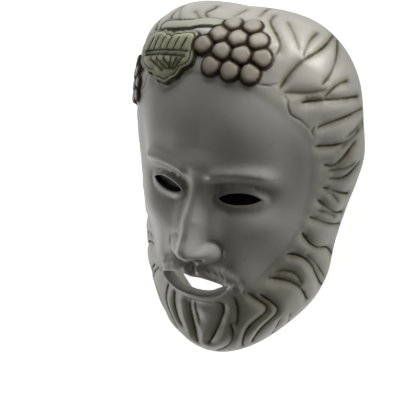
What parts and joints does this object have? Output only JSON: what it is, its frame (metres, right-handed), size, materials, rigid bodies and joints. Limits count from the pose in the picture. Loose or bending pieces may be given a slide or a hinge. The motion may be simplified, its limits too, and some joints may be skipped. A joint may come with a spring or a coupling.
{
  "type": "decorative mask",
  "caption": "Bearded face mask, hollow behind, cast in one piece with an open mouth, carved locks, grape clusters and a vine leaf at the brow.",
  "frame": {"origin": "middle of the mask's footprint, on the surface its flat rim lies on", "axes": "+Z the way the face looks, which is up as it lies, +Y towards the crown, +X towards the mask's own left"},
  "size_m": [0.2012, 0.288, 0.1069],
  "materials": {
    "cast_body": "smooth satin warm grey, olive-brown wash in the carved lines, leaf tinted green, grapes edged in dark brown, eyes glazed black"
  },
  "bodies": {
    "root": {"mask": "cast_body"}
  },
  "joints": []
}
